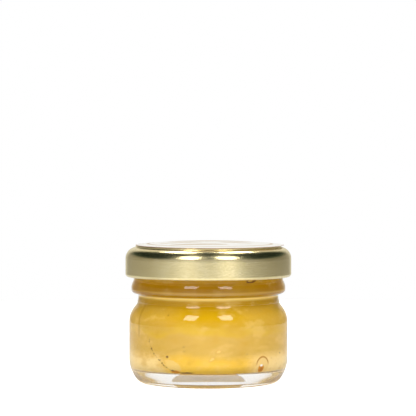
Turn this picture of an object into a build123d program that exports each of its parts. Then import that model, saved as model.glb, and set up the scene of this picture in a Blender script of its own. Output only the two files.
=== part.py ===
from build123d import *
from math import hypot, sqrt
import os

# A small round glass jar of mustard, shut with a pressed steel twist-off lid that carries a round
# paper label. Millimetres, +Z up. The origin is the centre of the ring that the jar stands on.

# ---- Glass, outside, from the ground up ----
BODY_RADIUS = 22.0
FOOT_INSET = 2.7  # from the body wall in to where the heel's slope meets the ground
FOOT_RADIUS = 2.8
BEARING_WIDTH = 3.6  # the level ring under the jar, measured to the same place
PUSH_UP = 0.8  # how far the middle of the base is raised
PUSH_UP_RUN = 3.0
PUSH_UP_BLEND = 2.0
HEEL_RISE = 3.8  # where the heel's slope would meet the wall
HEEL_RADIUS = 10.0
WALL_HEIGHT = 19.1  # where the wall would meet the shoulder's slope
SHOULDER_RISE = 3.0
SHOULDER_RADIUS = 6.5
NECK_STEP = 1.1  # how far the neck ring lies in from the finish
NECK_HEIGHT = 2.25
NECK_BLEND = 3.0
GROOVE_DEPTH = 0.25  # how much narrower the groove under the bead is than the neck ring
GROOVE_BLEND = 0.4
BEAD_REACH = 0.65  # how far the bead stands out of the finish
BEAD_UNDERCUT = 0.75  # the rise of the bead's lower side
BEAD_HEIGHT = 1.9
BEAD_TOP_RISE = 1.4  # the rise of the bead's upper side
BEAD_RADIUS = 1.0
BEAD_TOP_RADIUS = 2.5
FINISH_BLEND = 0.5
FINISH_RADIUS = 20.7  # the plain wall above the bead, which the lid closes round
FINISH_HEIGHT = 9.05
RIM_OUTER_RADIUS = 1.4
RIM_INNER_RADIUS = 1.0
SEAM_RADIUS = 0.3  # the fine ring round the neck where the parts of the mould met
SEAM_PROUD = 0.16
SEAM_RISE = 0.4  # above the top of the shoulder's slope

# ---- Glass, inside ----
WALL = 2.0
FLOOR_HEIGHT = 4.2
FLOOR_RADIUS = 2.5
INNER_DROP = 0.6  # how far the inner slope lies below the outer one
INNER_SHOULDER_RADIUS = 4.0
FINISH_WALL = 3.4

# ---- Mustard ----
HEADSPACE = 2.6  # between the mustard and the rim

# ---- Lid ----
SHEET = 0.2
LID_HEIGHT = 8.2  # from the bottom of the curl to the top of the slope
PANEL_INSET = 2.8  # from the skirt in to the edge of the raised panel
SLOPE_FALL = 0.91  # how far the slope outside the panel falls on its way to the skirt
PANEL_STEP = 0.51  # how far the panel's edge stands above the slope
PANEL_EDGE_RADIUS = 0.3
STEP_FOOT_RADIUS = 0.1
DOME_RISE = 0.97  # how far the middle of the panel stands above its edge
LID_SHOULDER_RADIUS = 3.1
CURL_RADIUS = 0.78
CURL_GAP = 0.74  # between the finish and the curl
SEAT_GAP = 0.15  # between the rim's outer edge and the lid's slope, carried on over it

# ---- Lugs of the lid, and the threads of the glass that they hold under ----
LUG_COUNT = 3
FIRST_LUG = 180.0
LUG_SPAN = 18.0
LUG_HEIGHT = 1.45
LUG_GAP = 0.3  # between a lug and the finish
LUG_RADIUS = 0.5
THREAD_GAP = 0.1  # between a lug and the thread above it
THREAD_REACH = 0.6  # how far a thread stands out of the finish
THREAD_ROOT = 0.3  # how deep its foot is sunk into the finish
THREAD_WIDTH = 1.6
THREAD_CREST = 0.6
THREAD_RISE = 2.4
THREAD_SPAN = 70.0
THREAD_LEAD = 8.0  # how far a thread starts before the middle of its lug, in degrees

# ---- Label ----
LABEL_RADIUS = 20.5
LABEL_THICKNESS = 0.1
LABEL_SHIFT = 0.4  # how far off the middle it was stuck

# ---- What follows from those sizes ----
neck_radius = FINISH_RADIUS - NECK_STEP
groove_radius = neck_radius - GROOVE_DEPTH
bead_radius = FINISH_RADIUS + BEAD_REACH
bore_radius = FINISH_RADIUS - FINISH_WALL
cavity_radius = BODY_RADIUS - WALL
foot_corner = BODY_RADIUS - FOOT_INSET
bearing_inner = foot_corner - BEARING_WIDTH

slope_top = WALL_HEIGHT + SHOULDER_RISE
groove_height = slope_top + NECK_HEIGHT
bead_bottom = groove_height + BEAD_UNDERCUT
bead_top = bead_bottom + BEAD_HEIGHT
finish_bottom = bead_top + BEAD_TOP_RISE
rim_height = finish_bottom + FINISH_HEIGHT
fill_height = rim_height - HEADSPACE

curl_radius = FINISH_RADIUS + CURL_GAP + CURL_RADIUS
skirt_radius = curl_radius + CURL_RADIUS
panel_radius = skirt_radius - PANEL_INSET
slope = SLOPE_FALL / PANEL_INSET
slope_sheet = SHEET * hypot(1, slope)  # the sheet's upright thickness on the slope
rim_edge = FINISH_RADIUS - RIM_OUTER_RADIUS
step_foot = rim_height + SEAT_GAP + slope_sheet + slope * (rim_edge - panel_radius)
lid_bottom = step_foot - LID_HEIGHT
curl_height = lid_bottom + CURL_RADIUS
dome_radius = (panel_radius**2 + DOME_RISE**2) / (2 * DOME_RISE)
dome_centre = step_foot + PANEL_STEP + DOME_RISE - dome_radius

lug_inner = FINISH_RADIUS + LUG_GAP
lug_top = lid_bottom + LUG_HEIGHT
thread_start = lug_top + THREAD_GAP + THREAD_WIDTH / 2


def turned(*lines):
    """The solid that lines, drawn end to end in the XZ plane, make when turned about Z."""
    outline = Curve() + list(lines)
    return revolve(make_face(Plane.XZ * outline), Axis.Z)


def cavity_corners():
    """The corners of the glass's inside below its rim, from the neck down, and their radii."""
    points = [
        (bore_radius, slope_top - INNER_DROP),
        (cavity_radius, WALL_HEIGHT - INNER_DROP),
        (cavity_radius, FLOOR_HEIGHT),
    ]
    return points, [NECK_BLEND, INNER_SHOULDER_RADIUS, FLOOR_RADIUS]


def glass_corners():
    """The corners of the glass's outside, from the middle of its base to its rim, and their radii."""
    corners = [
        (bearing_inner - PUSH_UP_RUN, PUSH_UP, PUSH_UP_BLEND),
        (bearing_inner, 0, PUSH_UP_BLEND),
        (foot_corner, 0, FOOT_RADIUS),
        (BODY_RADIUS, HEEL_RISE, HEEL_RADIUS),
        (BODY_RADIUS, WALL_HEIGHT, SHOULDER_RADIUS),
        (neck_radius, slope_top, NECK_BLEND),
        (groove_radius, groove_height, GROOVE_BLEND),
        (bead_radius, bead_bottom, BEAD_RADIUS),
        (bead_radius, bead_top, BEAD_TOP_RADIUS),
        (FINISH_RADIUS, finish_bottom, FINISH_BLEND),
        (FINISH_RADIUS, rim_height, RIM_OUTER_RADIUS),
        (bore_radius, rim_height, RIM_INNER_RADIUS),
    ]
    return [(r, z) for r, z, _ in corners], [blend for _, _, blend in corners]


def thread():
    """One thread of the finish: a ridge that climbs as it goes round."""
    pitch = THREAD_RISE * 360 / THREAD_SPAN
    climb = Helix(pitch, THREAD_RISE, FINISH_RADIUS)
    root = FINISH_RADIUS - THREAD_ROOT
    crest = FINISH_RADIUS + THREAD_REACH
    half_width = THREAD_WIDTH / 2
    half_crest = THREAD_CREST / 2
    section = Polyline(
        (root, -half_width), (crest, -half_crest), (crest, half_crest), (root, half_width), close=True
    )
    return sweep(Plane.XZ * make_face(section), climb, is_frenet=True)


def glass_jar():
    outside, outside_radii = glass_corners()
    inside, inside_radii = cavity_corners()
    points = [(0, PUSH_UP), *outside, *inside, (0, FLOOR_HEIGHT)]
    wall = FilletPolyline(*points, radius=outside_radii + inside_radii)
    jar = turned(wall, Line((0, FLOOR_HEIGHT), (0, PUSH_UP)))
    seam_centre = neck_radius + SEAM_PROUD - SEAM_RADIUS
    jar += Pos(0, 0, slope_top + SEAM_RISE) * Torus(seam_centre, SEAM_RADIUS)
    for turn in range(LUG_COUNT):
        azimuth = FIRST_LUG - THREAD_LEAD + turn * 360 / LUG_COUNT
        jar += Pos(0, 0, thread_start) * Rot(0, 0, azimuth) * thread()
    return jar


def mustard():
    inside, inside_radii = cavity_corners()
    points = [(bore_radius, fill_height), *inside, (0, FLOOR_HEIGHT)]
    side = FilletPolyline(*points, radius=inside_radii)
    axis_line = Line((0, FLOOR_HEIGHT), (0, fill_height))
    return turned(side, axis_line, Line((0, fill_height), (bore_radius, fill_height)))


def lid_block(depth):
    """The solid under the lid's outer surface, less the given depth of sheet."""

    def on_dome(radius):
        return (radius, dome_centre + sqrt((dome_radius - depth) ** 2 - radius**2))

    def on_slope(radius):
        return (radius, step_foot - depth * hypot(1, slope) - slope * (radius - panel_radius))

    side = skirt_radius - depth
    edge = panel_radius - depth
    apex = on_dome(0)
    dome_end = on_dome(edge - 2 * PANEL_EDGE_RADIUS)
    corners = [dome_end, on_dome(edge), on_slope(edge), on_slope(side), (side, curl_height)]
    radii = [PANEL_EDGE_RADIUS - depth, STEP_FOOT_RADIUS + depth, LID_SHOULDER_RADIUS - depth]
    panel = RadiusArc(apex, dome_end, dome_radius - depth)
    bottom = Line((side, curl_height), (0, curl_height))
    return turned(panel, FilletPolyline(*corners, radius=radii), bottom, Line((0, curl_height), apex))


def lug():
    """One lug: the stretch of the curl that is pressed in towards the glass."""
    points = [(curl_radius, lid_bottom), (lug_inner, lid_bottom), (lug_inner, lug_top), (curl_radius, lug_top)]
    nose = FilletPolyline(*points, radius=[LUG_RADIUS, LUG_RADIUS])
    section = make_face(Plane.XZ * (nose + Line(points[-1], points[0])))
    return Rot(0, 0, -LUG_SPAN / 2) * revolve(section, Axis.Z, LUG_SPAN)


def lid():
    cap = lid_block(0) - lid_block(SHEET)
    cap += Pos(0, 0, curl_height) * Torus(curl_radius, CURL_RADIUS)
    for turn in range(LUG_COUNT):
        cap += Rot(0, 0, FIRST_LUG + turn * 360 / LUG_COUNT) * lug()
    return cap


def label():
    """A paper disc that follows the lid's domed panel and stands free past its edge."""
    ball = Pos(0, 0, dome_centre) * Sphere(dome_radius + LABEL_THICKNESS)
    hollow = Pos(0, 0, dome_centre) * Sphere(dome_radius)
    punch = Pos(LABEL_SHIFT, 0, step_foot + PANEL_STEP) * Cylinder(LABEL_RADIUS, 4 * DOME_RISE)
    return (punch & ball) - hollow


def main():
    os.makedirs("parts", exist_ok=True)
    pieces = {"glass_jar": glass_jar(), "mustard": mustard(), "lid": lid(), "lid_label": label()}
    for name, piece in pieces.items():
        export_step(piece, f"parts/{name}.step")


main()
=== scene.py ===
import math

import bpy
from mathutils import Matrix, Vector


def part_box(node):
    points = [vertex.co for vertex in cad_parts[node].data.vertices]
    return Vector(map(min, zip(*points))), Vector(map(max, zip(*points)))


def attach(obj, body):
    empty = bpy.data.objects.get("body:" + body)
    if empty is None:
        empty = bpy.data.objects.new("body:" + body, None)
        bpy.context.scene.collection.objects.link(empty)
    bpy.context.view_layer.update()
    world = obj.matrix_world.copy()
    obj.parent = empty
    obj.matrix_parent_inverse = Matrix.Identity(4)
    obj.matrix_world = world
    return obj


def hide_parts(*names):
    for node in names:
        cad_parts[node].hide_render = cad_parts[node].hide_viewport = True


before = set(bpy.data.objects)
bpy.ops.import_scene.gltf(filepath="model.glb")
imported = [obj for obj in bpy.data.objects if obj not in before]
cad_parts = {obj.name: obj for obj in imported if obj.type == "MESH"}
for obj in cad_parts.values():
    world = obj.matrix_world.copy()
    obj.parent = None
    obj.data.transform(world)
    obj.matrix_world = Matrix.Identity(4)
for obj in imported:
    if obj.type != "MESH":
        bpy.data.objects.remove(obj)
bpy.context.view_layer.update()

MM = 0.001

# ---------------------------------------------------------------- sizes shared with the model, in mm
BORE_RADIUS = 17.3
CAVITY_RADIUS = 20.0
FLOOR_HEIGHT = 4.2
CAVITY_WALL_TOP = 18.5
CAVITY_SLOPE_TOP = 21.5
NECK_BLEND = 3.0
INNER_SHOULDER_RADIUS = 4.0
FLOOR_RADIUS = 2.5
LABEL_RADIUS = 20.5
LABEL_SHIFT = 0.4
INTO_WALL = 0.06  # the mustard reaches this far into the glass, so that no air gap shows
COLUMNS = 144  # of the turned mesh
OUTLINE_STEP = 1.0  # the longest piece of the turned mesh's outline

# ---------------------------------------------------------------- camera
CAMERA_PLACE = (-0.0001, -0.6, 0.06535)
CAMERA_DIP = 1.63  # degrees below the horizon
CAMERA_LENS = 187.24
SENSOR_WIDTH = 36

# ---------------------------------------------------------------- light
FRONT_LEVEL = 0.6  # of the room behind the camera
SIDE_LEVEL = 0.33  # of its sides and back
OVERHEAD_LEVEL = 0.02
SWEEP_LEVEL = 0.8  # of the pale sweep behind the jar, as the lid reflects it
ARCH_LEVEL = 0.6  # of the two pale strips overhead
RIGHT_DIMMING = 0.7
LEFT_WALL_GAIN = 0.38  # the two bright walls that the lid's skirt reflects
RIGHT_WALL_GAIN = 0.56
WARM_WALLS = (1.0, 0.97, 0.85, 1)
GREEN_OVERHEAD = (0.52, 1.0, 0.64, 1)
# azimuth from the front and elevation in degrees, width and height in metres, radiance
FRONT_LAMP = (29.5, 40, 0.31, 0.42, 7.4)
TOP_LAMP = (150, 62, 0.2, 0.26, 15)
LAMP_DISTANCE = 1.0
LAMP_TARGET = (0, 0, 0.02)
LIGHT_BOUNCES = 32  # the thick base of the jar passes light on many times

# ---------------------------------------------------------------- floor
FLOOR_SPREAD = 0.32  # its radius in metres
FLOOR_SINK = 0.0001  # how far it lies under the jar
FLOOR_GREY = 0.86
FLOOR_GLOW = 0.8  # what makes it white for the camera, with the light that falls on it


# ---------------------------------------------------------------- node helpers
class Graph:
    """A node tree with short calls for adding and linking nodes."""

    def __init__(self, tree):
        self.tree = tree

    def node(self, kind, **settings):
        made = self.tree.nodes.new(kind)
        for key, value in settings.items():
            setattr(made, key, value)
        return made

    def feed(self, socket, value):
        if isinstance(value, bpy.types.NodeSocket):
            self.tree.links.new(value, socket)
        else:
            socket.default_value = value

    def math(self, operation, *values, clamp=False):
        made = self.node("ShaderNodeMath", operation=operation, use_clamp=clamp)
        for socket, value in zip(made.inputs, values):
            self.feed(socket, value)
        return made.outputs[0]

    def times(self, first, second):
        return self.math("MULTIPLY", first, second)

    def absolute(self, value):
        return self.math("ABSOLUTE", value)

    def one_minus(self, value):
        return self.math("SUBTRACT", 1.0, value)

    def mix(self, factor, first, second):
        made = self.node("ShaderNodeMix", data_type="RGBA")
        self.feed(made.inputs["Factor"], factor)
        self.feed(made.inputs["A"], first)
        self.feed(made.inputs["B"], second)
        return made.outputs["Result"]

    def blend(self, factor, first, second):
        made = self.node("ShaderNodeMix", data_type="FLOAT")
        self.feed(made.inputs["Factor"], factor)
        self.feed(made.inputs["A"], first)
        self.feed(made.inputs["B"], second)
        return made.outputs["Result"]

    def smooth(self, value, low, high, start=0.0, end=1.0):
        made = self.node("ShaderNodeMapRange", interpolation_type="SMOOTHSTEP")
        self.feed(made.inputs["Value"], value)
        made.inputs["From Min"].default_value = low
        made.inputs["From Max"].default_value = high
        made.inputs["To Min"].default_value = start
        made.inputs["To Max"].default_value = end
        return made.outputs[0]

    def vector(self, operation, *values, output="Vector"):
        made = self.node("ShaderNodeVectorMath", operation=operation)
        for socket, value in zip(made.inputs, values):
            self.feed(socket, value)
        return made.outputs[output]

    def dot(self, first, second):
        return self.vector("DOT_PRODUCT", first, second, output="Value")

    def scaled(self, vector, scale):
        made = self.node("ShaderNodeVectorMath", operation="SCALE")
        self.feed(made.inputs[0], vector)
        self.feed(made.inputs["Scale"], scale)
        return made.outputs[0]

    def split(self, vector):
        made = self.node("ShaderNodeSeparateXYZ")
        self.feed(made.inputs[0], vector)
        return made.outputs[0], made.outputs[1], made.outputs[2]

    def join(self, x, y, z):
        made = self.node("ShaderNodeCombineXYZ")
        for socket, value in zip(made.inputs, (x, y, z)):
            self.feed(socket, value)
        return made.outputs[0]

    def place_mm(self):
        """Where a point of the surface is in the object, in millimetres."""
        return self.scaled(self.node("ShaderNodeTexCoord").outputs["Object"], 1000)

    def noise(self, vector, scale, detail=2.0, roughness=0.5):
        """Noise of scale waves to the millimetre, for a vector in millimetres."""
        made = self.node("ShaderNodeTexNoise")
        self.feed(made.inputs["Vector"], vector)
        made.inputs["Scale"].default_value = scale
        made.inputs["Detail"].default_value = detail
        made.inputs["Roughness"].default_value = roughness
        return made.outputs["Fac"]

    def oval(self, flat, centre, half_width, half_height, tilt=0.0):
        """The reach from an oval's centre on a flat map: one at its edge. Tilt is in degrees."""
        cosine, sine = math.cos(math.radians(tilt)), math.sin(math.radians(tilt))
        offset = self.vector("SUBTRACT", flat, (centre[0], centre[1], 0))
        across = self.dot(offset, (cosine / half_width, sine / half_width, 0))
        up = self.dot(offset, (-sine / half_height, cosine / half_height, 0))
        return self.vector("LENGTH", self.join(across, up, 0.0), output="Value")

    def spot(self, flat, centre, half_width, half_height, soft=0.35, tilt=0.0):
        """One in the middle of an oval on a flat map, zero outside it."""
        reach = self.oval(flat, centre, half_width, half_height, tilt)
        return self.smooth(reach, 1 - soft, 1 + soft, 1, 0)

    def ring(self, flat, centre, half_width, half_height, width, tilt=0.0):
        """One along the edge of an oval on a flat map, zero off it. Width is a share of the oval."""
        reach = self.oval(flat, centre, half_width, half_height, tilt)
        off_edge = self.absolute(self.math("SUBTRACT", reach, 1.0))
        return self.smooth(off_edge, width / 2, width, 1, 0)

    def off_line(self, flat, points):
        """The distance on a flat map from a line through points."""
        nearest = 1000.0
        for start, end in zip(points, points[1:]):
            run = Vector((end[0] - start[0], end[1] - start[1], 0))
            offset = self.vector("SUBTRACT", flat, (start[0], start[1], 0))
            along = self.dot(offset, tuple(run / run.length_squared))
            along = self.math("MULTIPLY", along, 1.0, clamp=True)
            foot = self.scaled(tuple(run), along)
            reach = self.vector("DISTANCE", offset, foot, output="Value")
            nearest = self.math("MINIMUM", nearest, reach)
        return nearest


def srgb(red, green, blue):
    """A colour given in 0..255 display values, as the linear values that shaders take."""
    def linear(value):
        share = value / 255
        return share / 12.92 if share <= 0.04045 else ((share + 0.055) / 1.055) ** 2.4

    return (linear(red), linear(green), linear(blue), 1.0)


class Paint:
    """A colour of a graph, built up layer by layer."""

    def __init__(self, graph, colour):
        self.graph = graph
        self.colour = srgb(*colour)

    def add(self, cover, colour, strength=1.0):
        """Cover goes from zero, where the layer leaves the paint as it is, to one."""
        if strength != 1:
            cover = self.graph.times(cover, strength)
        self.colour = self.graph.mix(cover, self.colour, srgb(*colour))


def new_material(name):
    material = bpy.data.materials.new(name)
    material.use_nodes = True
    graph = Graph(material.node_tree)
    return material, graph, material.node_tree.nodes["Principled BSDF"]


def dress(piece, material):
    piece.data.materials.clear()
    piece.data.materials.append(material)
    for polygon in piece.data.polygons:
        polygon.use_smooth = True


# ---------------------------------------------------------------- outlines and turned meshes
def rounded(corners, step_degrees=4.0):
    """The points of an outline through (r, z, radius) corners, each corner rounded by an arc."""
    points = []
    for index, (r, z, radius) in enumerate(corners):
        if radius == 0:
            points.append((r, z))
            continue
        here = Vector((r, z))
        back = (Vector(corners[index - 1][:2]) - here).normalized()
        ahead = (Vector(corners[index + 1][:2]) - here).normalized()
        half_angle = back.angle(ahead) / 2
        centre = here + (back + ahead).normalized() * (radius / math.sin(half_angle))
        start = here + back * (radius / math.tan(half_angle)) - centre
        turn = back.angle_signed(ahead)
        sweep = (math.pi - 2 * half_angle) * (1 if turn > 0 else -1)
        steps = max(2, math.ceil(math.degrees(abs(sweep)) / step_degrees))
        for step in range(steps + 1):
            angle = sweep * step / steps
            cosine, sine = math.cos(angle), math.sin(angle)
            arm = Vector((start.x * cosine - start.y * sine, start.x * sine + start.y * cosine))
            points.append(tuple(centre + arm))
    return points


def finer(outline, step):
    """The outline with its long straight runs cut into pieces no longer than step."""
    points = [outline[0]]
    for start, end in zip(outline, outline[1:]):
        pieces = max(1, math.ceil(math.dist(start, end) / step))
        for piece in range(1, pieces + 1):
            share = piece / pieces
            r = start[0] + (end[0] - start[0]) * share
            z = start[1] + (end[1] - start[1]) * share
            points.append((r, z))
    return points


def turned(name, outline):
    """A closed mesh: the outline, which starts and ends on the axis, turned about Z."""
    vertices = [(0, 0, outline[0][1] * MM)]
    rings = outline[1:-1]
    for r, z in rings:
        for column in range(COLUMNS):
            angle = math.tau * column / COLUMNS
            vertices.append((r * MM * math.sin(angle), -r * MM * math.cos(angle), z * MM))
    vertices.append((0, 0, outline[-1][1] * MM))
    last = len(vertices) - 1
    faces = []
    for column in range(COLUMNS):
        following = (column + 1) % COLUMNS
        faces.append((0, 1 + following, 1 + column))
        for ring in range(len(rings) - 1):
            low, high = 1 + ring * COLUMNS, 1 + (ring + 1) * COLUMNS
            faces.append((low + column, low + following, high + following, high + column))
        top = 1 + (len(rings) - 1) * COLUMNS
        faces.append((top + column, top + following, last))
    mesh = bpy.data.meshes.new(name)
    mesh.from_pydata(vertices, [], faces)
    mesh.validate()
    piece = bpy.data.objects.new(name, mesh)
    bpy.context.scene.collection.objects.link(piece)
    return piece


# ---------------------------------------------------------------- mustard
# The paste's tones, partly painted light: each takes over from the last between two heights in mm.
# The first ones wander up and down by a few millimetres, and the lighter low ones also paint the
# light that the floor throws up. The others follow the glass of the shoulder and neck; their pale
# band at the neck and their brighter band under the lid are painted light.
LOWEST_TONE = (240, 196, 60)
WANDERING_TONES = [
    (4.5, 7.0, (238, 192, 52)),
    (7.0, 10.0, (212, 172, 70)),
    (13.8, 15.4, (218, 179, 40)),
    (15.0, 18.0, (206, 161, 14)),
]
STEADY_TONES_AND_LIGHT = [
    (19.0, 22.0, (182, 138, 6)),
    (23.1, 24.1, (250, 216, 116)),
    (25.0, 26.2, (190, 134, 1)),
    (27.5, 29.0, (212, 158, 3)),
]
WANDER = 5.0

# Marks in the mustard against the glass: how far round from the front, in millimetres along the
# mustard's side and positive to the right, and the height above the ground.
SPECKS = [  # with the radius
    (-11.3, 8.6, 0.36), (-12.9, 6.8, 0.22), (-6.4, 10.3, 0.13), (-11.5, 19.3, 0.13), (23.3, 8.9, 0.22),
    (-6.5, 11.4, 0.14), (-17.5, 12.3, 0.2), (-16.6, 10.5, 0.24), (-15.7, 9.2, 0.2), (-13.6, 7.6, 0.18),
    (-12.4, 6.3, 0.2), (-9.9, 5.1, 0.22), (10.6, 9.3, 0.13),
]
CRACK = [
    (-17.5, 12.9), (-16.9, 11.0), (-15.7, 9.2), (-13.9, 7.6), (-12.3, 6.2), (-10.3, 5.1), (-8.6, 4.8),
]
FOLD = [(-12.0, 9.3), (-8.5, 10.9), (-3.0, 12.1)]
SHADE_LINE = [(-23.2, 21.4), (-22.4, 19.6), (-22.1, 17.0), (-22.2, 13.6)]
PALE_PATCH = (-9.6, 6.2)
LENSES = [(0.95, 8.1, 0.85, 0.38, 38), (2.7, 10.2, 0.75, 0.4, 20)]  # with half sizes and tilt
BUBBLE = (15.7, 5.9)
DROP = (15.3, 5.4)
DROP_SHADE = (15.4, 5.15)
DROP_GLINT = (15.25, 6.12)
# painted shade of a small pit at the mustard's lower edge, and its painted shadow line
PIT_SHADE = (-9.2, 4.72)
PIT_SHADOW = (-6.0, 4.57)
PIT_MIDDLE = (-7.8, 4.72)  # the middle of both
NOTCH = (13.2, 28.9)
SHAKE = 0.45  # how far the wavering marks waver

# Seen at a grazing angle the mustard mirrors what is around the jar, so that the thick base under
# it looks clear. The drop and the painted shade of the pit don't mirror.
MIRROR_START, MIRROR_END, MIRROR_MOST = 0.5, 0.68, 0.92
CLINGING_WIDTH = 7.2  # of the patch on the underside that shows through as tan, each way
CLINGING_LOSS = 0.5  # how much less that patch mirrors
CLINGING_TINT = (250, 206, 110)


def paste(graph, place, z, around):
    """The mustard's colour, with painted light: banded by height, painted paler at the sides as a
    reflection, clouded and finely grained.
    """
    wander = graph.noise(graph.vector("MULTIPLY", place, (1.0, 1.0, 0.5)), 0.11, 3)
    height = graph.math("ADD", z, graph.times(graph.math("SUBTRACT", wander, 0.5), WANDER))
    paint = Paint(graph, LOWEST_TONE)
    for level, tones in ((height, WANDERING_TONES), (z, STEADY_TONES_AND_LIGHT)):
        for low, high, tone in tones:
            paint.add(graph.smooth(level, low, high), tone)

    round_side = graph.absolute(around)
    # painted reflection: the sides, seen at a grazing angle from the front, are painted paler as if
    # they mirrored the pale room, strongly low down and weakly and greyer higher up
    low_side_reflection = graph.times(graph.smooth(z, 10.5, 7.0), graph.smooth(round_side, 9.0, 15.0))
    paint.add(low_side_reflection, (248, 218, 146), 0.95)
    high_side_reflection = graph.times(graph.smooth(z, 13.5, 16.0), graph.smooth(z, 22.5, 20.0))
    high_side_reflection = graph.times(high_side_reflection, graph.smooth(round_side, 5.0, 14.0))
    paint.add(high_side_reflection, (206, 170, 96), 0.3)

    clouds = graph.noise(graph.vector("MULTIPLY", place, (1.0, 1.0, 1.8)), 0.16, 4, 0.55)
    paint.add(graph.smooth(clouds, 0.5, 0.68, 0, 0.4), (236, 200, 112))
    paint.add(graph.smooth(clouds, 0.48, 0.32, 0, 0.45), (208, 160, 34))

    grain = graph.noise(place, 1.9, 4, 0.75)
    calm = graph.smooth(z, 16.5, 19.0, 1, 0.35)
    paint.add(graph.times(graph.smooth(grain, 0.48, 0.3, 0, 0.28), calm), (178, 128, 26))
    paint.add(graph.times(graph.smooth(grain, 0.54, 0.7, 0, 0.26), calm), (250, 216, 126))
    bran = graph.noise(place, 1.35, 0, 0.5)
    paint.add(graph.smooth(bran, 0.2, 0.155, 0, 0.2), (140, 92, 20))
    return paint


def wavering(graph, flat):
    """The flat map, shaken a little, so that a mark drawn on it gets an uneven edge."""
    wobble = graph.node("ShaderNodeTexNoise")
    graph.feed(wobble.inputs["Vector"], flat)
    wobble.inputs["Scale"].default_value = 1.3
    shake = graph.vector("SUBTRACT", wobble.outputs["Color"], (0.5, 0.5, 0.5))
    return graph.vector("ADD", flat, graph.scaled(shake, SHAKE))


def add_marks(graph, paint, flat, z, around, on_side):
    """Paint the specks, crack, bubble and other marks, which lie against the glass, among them
    a painted white glint on the drop and the painted shade of a pit with its shadow line.

    On_side is one up the mustard's side and zero on its underside, where no mark goes on."""
    shaken = wavering(graph, flat)
    paint.add(graph.smooth(graph.off_line(shaken, FOLD), 0.1, 0.4, 0.12, 0), (176, 124, 30))
    paint.add(graph.smooth(graph.off_line(shaken, SHADE_LINE), 0.15, 0.7, 0.4, 0), (170, 122, 24))
    paint.add(graph.spot(shaken, PALE_PATCH, 2.3, 1.3, 0.2, -24), (236, 200, 108))
    for across, height, half_width, half_height, tilt in LENSES:
        lens = (across, height), half_width, half_height
        paint.add(graph.spot(shaken, *lens, 0.2, tilt), (246, 212, 128), 0.6)
        paint.add(graph.ring(shaken, *lens, 0.3, tilt), (196, 142, 30), 0.4)

    # the bubble, with a dark arch over it, a drop in its foot and a painted white glint on the drop
    paint.add(graph.spot(flat, BUBBLE, 2.1, 2.4, 0.08), (238, 204, 128))
    arch = graph.times(graph.ring(flat, BUBBLE, 2.15, 2.45, 0.13), graph.smooth(z, 5.8, 7.2))
    paint.add(arch, (186, 126, 16), 0.85)
    paint.add(graph.spot(flat, DROP, 1.0, 0.95, 0.15), (216, 144, 18))
    paint.add(graph.spot(flat, DROP_SHADE, 0.58, 0.5, 0.3), (190, 114, 6))
    # painted highlight: the white glint on the drop
    paint.add(graph.spot(flat, DROP_GLINT, 0.5, 0.28, 0.3), (255, 250, 240))

    # painted shade: the brown of a small pit at the mustard's lower edge, with its painted shadow
    # line, and the hook under the lid
    pit_shade = graph.spot(shaken, PIT_SHADE, 1.3, 0.4, 0.3)
    paint.add(graph.times(pit_shade, on_side), (208, 138, 16))
    shadow = graph.spot(shaken, PIT_SHADOW, 2.0, 0.2, 0.4)
    paint.add(graph.times(shadow, on_side), (124, 80, 14))
    right_part = graph.smooth(around, NOTCH[0] - 1.8, NOTCH[0] - 0.9)
    hook = graph.times(graph.ring(shaken, NOTCH, 1.5, 0.42, 0.55, 4), right_part)
    paint.add(hook, (112, 66, 14), 0.9)

    dark = 0.0
    for across, height, radius in SPECKS:
        speck = graph.spot(shaken, (across, height), radius, radius * 0.9, 0.5)
        dark = graph.math("MAXIMUM", dark, speck)
    line = graph.smooth(graph.off_line(shaken, CRACK), 0.04, 0.17, 0.85, 0)
    broken = graph.smooth(graph.noise(flat, 1.5, 1), 0.44, 0.6, 0.1, 1)
    dark = graph.math("MAXIMUM", dark, graph.times(line, broken))
    paint.add(graph.times(dark, on_side), (104, 62, 8), 0.9)


def mustard_material():
    material, graph, shader = new_material("mustard")
    place = graph.place_mm()
    x, y, z = graph.split(place)
    round_front = graph.math("ARCTAN2", x, graph.times(y, -1.0))
    around = graph.times(round_front, CAVITY_RADIUS)
    flat = graph.join(around, z, 0.0)
    on_side = graph.smooth(z, FLOOR_HEIGHT + 0.1, FLOOR_HEIGHT + 0.35)
    paint = paste(graph, place, z, around)
    add_marks(graph, paint, flat, z, around, on_side)

    grazing = graph.node("ShaderNodeLayerWeight")
    grazing.inputs["Blend"].default_value = 0.5
    mirror = graph.smooth(grazing.outputs["Facing"], MIRROR_START, MIRROR_END, 0, MIRROR_MOST)
    wetted = graph.spot(flat, DROP, 1.1, 1.05, 0.2)
    wetted = graph.math("MAXIMUM", wetted, graph.spot(flat, PIT_MIDDLE, 3.8, 0.6, 0.2))
    mirror = graph.times(mirror, graph.one_minus(graph.times(wetted, on_side)))
    clinging = graph.smooth(z, FLOOR_HEIGHT + 0.3, FLOOR_HEIGHT + 0.1)
    half_width = graph.smooth(graph.absolute(x), CLINGING_WIDTH + 0.3, CLINGING_WIDTH - 0.3)
    clinging = graph.times(clinging, half_width)
    clinging = graph.times(clinging, graph.smooth(y, -0.6, -1.2))
    mirror = graph.times(mirror, graph.one_minus(graph.times(clinging, CLINGING_LOSS)))
    mirrored = graph.mix(clinging, (1, 1, 1, 1), srgb(*CLINGING_TINT))
    graph.feed(shader.inputs["Base Color"], graph.mix(mirror, paint.colour, mirrored))
    graph.feed(shader.inputs["Metallic"], mirror)
    shader.inputs["Roughness"].default_value = 0.08
    shader.inputs["Specular IOR Level"].default_value = 0.0
    return material


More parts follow.
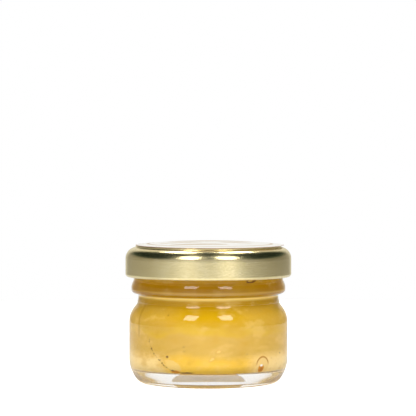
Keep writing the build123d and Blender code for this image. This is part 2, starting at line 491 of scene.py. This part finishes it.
def make_mustard():
    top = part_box("mustard")[1].z / MM
    side, bore, bottom = CAVITY_RADIUS + INTO_WALL, BORE_RADIUS + INTO_WALL, FLOOR_HEIGHT - INTO_WALL
    outline = rounded([
        (0, bottom, 0),
        (side, bottom, FLOOR_RADIUS),
        (side, CAVITY_WALL_TOP, INNER_SHOULDER_RADIUS),
        (bore, CAVITY_SLOPE_TOP, NECK_BLEND),
        (bore, top, 0),
        (0, top, 0),
    ])
    piece = turned("mustard_fill", finer(outline, OUTLINE_STEP))
    dress(piece, mustard_material())
    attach(piece, "root")
    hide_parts("mustard")


# ---------------------------------------------------------------- glass, lid and label
# The label's print: ovals of no meaning, each with its centre and half sizes in mm.
FIELDS = [
    ((LABEL_SHIFT, 3.0), 12.0, 4.0, 0.02),
    ((-7.6, -5.0), 6.0, 1.2, 0.04),
    ((7.6, -5.0), 4.5, 1.2, 0.04),
    ((-2.6, -11.6), 8.0, 1.4, 0.04),
]
PRINTED_RING = 17.2
PAPER_LIGHT, PAPER_DARK = (250, 248, 245), (243, 240, 235)
INK = (206, 184, 156)
RIM_LINE = (196, 150, 128)
LACQUER_LIGHT, LACQUER_WORN, LACQUER_GRAIN = (240, 226, 181), (236, 221, 173), (218, 200, 136)
GLASS_IOR = 1.46


def add_bump(graph, shader, height, strength, distance):
    bump = graph.node("ShaderNodeBump")
    bump.inputs["Strength"].default_value = strength
    bump.inputs["Distance"].default_value = distance
    graph.feed(bump.inputs["Height"], height)
    graph.feed(shader.inputs["Normal"], bump.outputs["Normal"])


def glass_material():
    material, _, shader = new_material("clear_glass")
    shader.inputs["Base Color"].default_value = (1, 1, 1, 1)
    shader.inputs["Transmission Weight"].default_value = 1.0
    shader.inputs["Roughness"].default_value = 0.0
    shader.inputs["IOR"].default_value = GLASS_IOR
    return material


def lid_material():
    """Tinplate under a gold lacquer, finely grained."""
    material, graph, shader = new_material("gold_lacquer")
    place = graph.place_mm()
    grain = graph.noise(place, 2.6, 3, 0.65)
    worn = graph.noise(place, 0.35, 3, 0.6)
    paint = Paint(graph, LACQUER_LIGHT)
    paint.add(graph.smooth(worn, 0.35, 0.7), LACQUER_WORN)
    paint.add(graph.smooth(grain, 0.3, 0.72, 0, 0.6), LACQUER_GRAIN)
    graph.feed(shader.inputs["Base Color"], paint.colour)
    shader.inputs["Metallic"].default_value = 1.0
    graph.feed(shader.inputs["Roughness"], graph.smooth(grain, 0.25, 0.75, 0.18, 0.26))
    add_bump(graph, shader, grain, 0.4, 0.00005)
    return material


def label_material():
    material, graph, shader = new_material("label_paper")
    place = graph.place_mm()
    flat = graph.vector("MULTIPLY", place, (1.0, 1.0, 0.0))
    fibres = graph.noise(place, 1.2, 3, 0.7)
    middle = (LABEL_SHIFT, 0.0)
    fields = graph.ring(flat, middle, PRINTED_RING, PRINTED_RING, 0.03)
    for centre, half_width, half_height, soft in FIELDS:
        field = graph.spot(flat, centre, half_width, half_height, soft)
        fields = graph.math("MAXIMUM", fields, field)
    paint = Paint(graph, PAPER_LIGHT)
    paint.add(graph.smooth(fibres, 0.35, 0.7), PAPER_DARK)
    paint.add(fields, INK, 0.85)
    # a reddish-brown line round the label's rim
    edge = graph.smooth(graph.oval(flat, middle, LABEL_RADIUS, LABEL_RADIUS), 0.992, 0.997)
    paint.add(edge, RIM_LINE, 0.8)
    graph.feed(shader.inputs["Base Color"], paint.colour)
    shader.inputs["Roughness"].default_value = 0.5
    add_bump(graph, shader, fibres, 0.15, 0.00003)
    return material


# ---------------------------------------------------------------- camera, lights and backdrop
def make_camera():
    data = bpy.data.cameras.new("camera")
    data.sensor_width = SENSOR_WIDTH
    data.lens = CAMERA_LENS
    data.clip_start = 0.01
    camera = bpy.data.objects.new("camera", data)
    camera.location = CAMERA_PLACE
    camera.rotation_euler = (math.radians(90 - CAMERA_DIP), 0, 0)
    bpy.context.scene.collection.objects.link(camera)
    bpy.context.scene.camera = camera


def softbox(name, azimuth, elevation, width, height, radiance):
    """A rectangular lamp that faces the jar. Azimuth 0 is behind the camera, 90 is to its right."""
    data = bpy.data.lights.new(name, "AREA")
    data.shape = "RECTANGLE"
    data.size = width
    data.size_y = height
    data.energy = radiance * math.pi * width * height
    lamp = bpy.data.objects.new(name, data)
    turn, rise = math.radians(azimuth), math.radians(elevation)
    out = Vector((
        math.sin(turn) * math.cos(rise),
        -math.cos(turn) * math.cos(rise),
        math.sin(rise),
    ))
    lamp.location = Vector(LAMP_TARGET) + out * LAMP_DISTANCE
    lamp.rotation_euler = (-out).to_track_quat("-Z", "Y").to_euler()
    lamp.visible_transmission = False
    bpy.context.scene.collection.objects.link(lamp)


def room_level(graph, side, back, rise):
    """How bright the room is in a direction: walls, ceiling, sweep and the strips overhead."""
    off_middle = graph.absolute(side)
    level = graph.smooth(back, -0.75, 0.25, FRONT_LEVEL, SIDE_LEVEL)
    level = graph.times(level, graph.smooth(side, 0.55, 0.85, 1, RIGHT_DIMMING))

    # two brighter stretches of wall, left and right of the camera
    walls = graph.times(graph.smooth(off_middle, 0.12, 0.42), graph.smooth(off_middle, 0.5, 0.78, 1, 0))
    walls = graph.times(walls, graph.smooth(back, -0.5, -0.2, 1, 0))
    walls = graph.times(walls, graph.smooth(side, -0.1, 0.1, LEFT_WALL_GAIN, RIGHT_WALL_GAIN))
    walls = graph.times(walls, graph.smooth(rise, 0.1, 0.3, 1, 0))
    level = graph.math("ADD", level, walls)

    # the light falls off upwards, sooner at the sides and back than in front
    front_ceiling = graph.smooth(rise, 0.15, 0.68, 1, 0)
    other_ceiling = graph.smooth(rise, 0.15, 0.42, 1, 0)
    ceiling = graph.blend(graph.smooth(back, -0.7, -0.2), front_ceiling, other_ceiling)
    level = graph.math("ADD", graph.times(level, ceiling), OVERHEAD_LEVEL)

    sweep = graph.times(graph.smooth(off_middle, 0.3, 0.5, 1, 0), graph.smooth(rise, 0.66, 0.74, 1, 0))
    sweep = graph.times(sweep, graph.smooth(back, 0.2, 0.4))
    level = graph.blend(sweep, level, SWEEP_LEVEL)
    arch = graph.times(graph.smooth(off_middle, 0.14, 0.22), graph.smooth(off_middle, 0.28, 0.36, 1, 0))
    arch = graph.times(arch, graph.smooth(rise, 0.78, 0.84))
    return graph.blend(arch, level, ARCH_LEVEL)


def make_world():
    """A pale room: brightest behind the camera, dimmer at the sides and back, dark overhead."""
    world = bpy.data.worlds.new("studio")
    world.use_nodes = True
    world.cycles.sampling_method = "NONE"
    graph = Graph(world.node_tree)
    background = world.node_tree.nodes["Background"]
    direction = graph.node("ShaderNodeTexCoord").outputs["Generated"]
    side, back, rise = graph.split(direction)
    level = room_level(graph, side, back, rise)

    # white for the camera, and through the glass
    path = graph.node("ShaderNodeLightPath")
    through = graph.times(graph.smooth(back, -0.9, -0.4), path.outputs["Is Transmission Ray"])
    white = graph.math("MAXIMUM", path.outputs["Is Camera Ray"], through)
    graph.feed(background.inputs["Strength"], graph.blend(white, level, 1.0))

    overhead = graph.smooth(graph.math("MAXIMUM", level, white), 0.04, 0.2, 1, 0)
    behind = graph.times(graph.smooth(back, -0.6, 0.1), graph.one_minus(white))
    walls = graph.mix(behind, (1, 1, 1, 1), WARM_WALLS)
    graph.feed(background.inputs["Color"], graph.mix(overhead, walls, GREEN_OVERHEAD))
    bpy.context.scene.world = world


def make_floor():
    """A floor that is white to the camera and keeps the jar's shadow. Seen through the glass it is
    white from just outside the jar on, and in the lid it is white only in front of the jar."""
    bpy.ops.mesh.primitive_circle_add(vertices=128, radius=FLOOR_SPREAD, fill_type="NGON")
    floor = bpy.context.object
    floor.name = "floor"
    floor.location = (0, 0, -FLOOR_SINK)
    material, graph, shader = new_material("floor_white")
    tree = material.node_tree
    tree.nodes.remove(shader)
    diffuse = graph.node("ShaderNodeBsdfDiffuse")
    diffuse.inputs["Color"].default_value = (FLOOR_GREY, FLOOR_GREY, FLOOR_GREY, 1)
    glow = graph.node("ShaderNodeEmission")
    glow.inputs["Color"].default_value = (1, 1, 1, 1)
    path = graph.node("ShaderNodeLightPath")
    place = graph.node("ShaderNodeTexCoord").outputs["Object"]
    reach = graph.vector("LENGTH", place, output="Value")
    clear = graph.smooth(reach, 0.019, 0.026, 0, 0.75)
    clear = graph.math("ADD", clear, graph.smooth(reach, 0.026, 0.06, 0, 0.25))
    through = graph.times(path.outputs["Is Transmission Ray"], clear)
    ahead = graph.math("DIVIDE", graph.times(graph.split(place)[1], -1.0), reach)
    in_front = graph.smooth(ahead, 0.35, 0.8, 0.0, 0.5)
    mirrored = graph.times(path.outputs["Is Glossy Ray"], graph.times(clear, in_front))
    seen = graph.times(path.outputs["Is Camera Ray"], FLOOR_GLOW)
    seen = graph.math("MAXIMUM", seen, graph.math("MAXIMUM", through, mirrored))
    graph.feed(glow.inputs["Strength"], seen)
    total = graph.node("ShaderNodeAddShader")
    graph.feed(total.inputs[0], diffuse.outputs[0])
    graph.feed(total.inputs[1], glow.outputs[0])
    graph.feed(tree.nodes["Material Output"].inputs["Surface"], total.outputs[0])
    dress(floor, material)


def main():
    scene = bpy.context.scene
    scene.view_settings.view_transform = "Standard"
    for limit in ("max_bounces", "transmission_bounces", "glossy_bounces"):
        setattr(scene.cycles, limit, LIGHT_BOUNCES)
    make_camera()
    make_world()
    make_floor()
    for side in (-1, 1):
        for name, (azimuth, *rest) in (("front", FRONT_LAMP), ("top", TOP_LAMP)):
            softbox(f"{name}_{side}", azimuth * side, *rest)
    make_mustard()
    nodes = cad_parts
    dress(nodes["glass_jar"], glass_material())
    nodes["glass_jar"].visible_shadow = False
    dress(nodes["lid"], lid_material())
    dress(nodes["lid_label"], label_material())


main()
